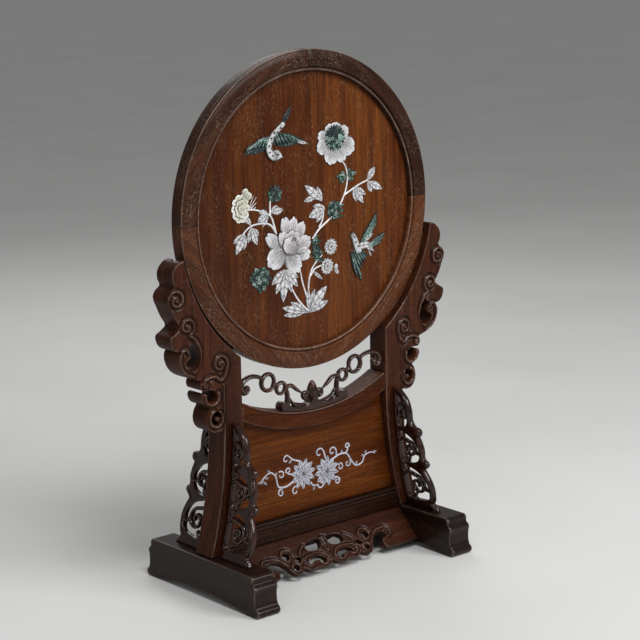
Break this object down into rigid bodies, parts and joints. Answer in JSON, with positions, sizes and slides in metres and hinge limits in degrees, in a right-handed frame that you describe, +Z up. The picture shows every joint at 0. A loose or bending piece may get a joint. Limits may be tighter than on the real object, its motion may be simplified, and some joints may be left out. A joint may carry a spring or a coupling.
{
  "type": "chinese table screen",
  "caption": "Round wooden table screen inlaid with shell birds and flowers, lifting out of a carved stand with winged posts, curved rail, sloping aprons and shoe feet.",
  "frame": {"origin": "on the ground, midway between the feet and midway between front and back", "axes": "+X to the right along the screen as seen from the front, +Y from front to back, +Z up"},
  "size_m": [0.4098, 0.205, 0.598],
  "materials": {
    "rosewood": "polished reddish brown rosewood",
    "dark_rosewood": "polished near-black rosewood",
    "golden_rosewood": "waxed golden brown rosewood",
    "ring_rosewood": "waxed open-pored rosewood",
    "panel_rosewood": "waxed open-pored rosewood",
    "bamboo": "plain",
    "white_shell": "polished white mother-of-pearl",
    "cream_shell": "polished cream shell",
    "green_shell": "polished green and blue abalone"
  },
  "bodies": {
    "stand": {"foot_left": "dark_rosewood", "foot_right": "dark_rosewood", "post_left": "rosewood", "post_right": "rosewood", "lower_rail": "rosewood", "curved_rail": "golden_rosewood", "waist_panel": "golden_rosewood", "crest_scroll": "dark_rosewood", "apron_front": "rosewood", "apron_back_side": "rosewood", "spandrel_front_left": "dark_rosewood", "spandrel_front_right": "dark_rosewood", "spandrel_back_left": "dark_rosewood", "spandrel_back_right": "dark_rosewood", "spandrel_pegs": "bamboo", "lotus_flowers": "white_shell", "lotus_vines": "white_shell"},
    "screen": {"ring_upper_right": "ring_rosewood", "ring_upper_left": "ring_rosewood", "ring_lower_left": "ring_rosewood", "ring_lower_right": "ring_rosewood", "ring_keys": "bamboo", "round_panel": "panel_rosewood", "inlay_peony": "white_shell", "inlay_poppy": "white_shell", "inlay_poppy_heart": "green_shell", "inlay_chrysanthemum": "cream_shell", "inlay_daisies": "white_shell", "inlay_white_leaves": "white_shell", "inlay_green_leaves": "green_shell", "inlay_stems": "white_shell", "inlay_bird_bodies": "white_shell", "inlay_bird_wings": "green_shell"}
  },
  "joints": [
    {"name": "screen_lift", "type": "slide", "parent": "stand", "child": "screen", "axis": [0, 0, 1], "range_m": [0, 0.155]}
  ]
}
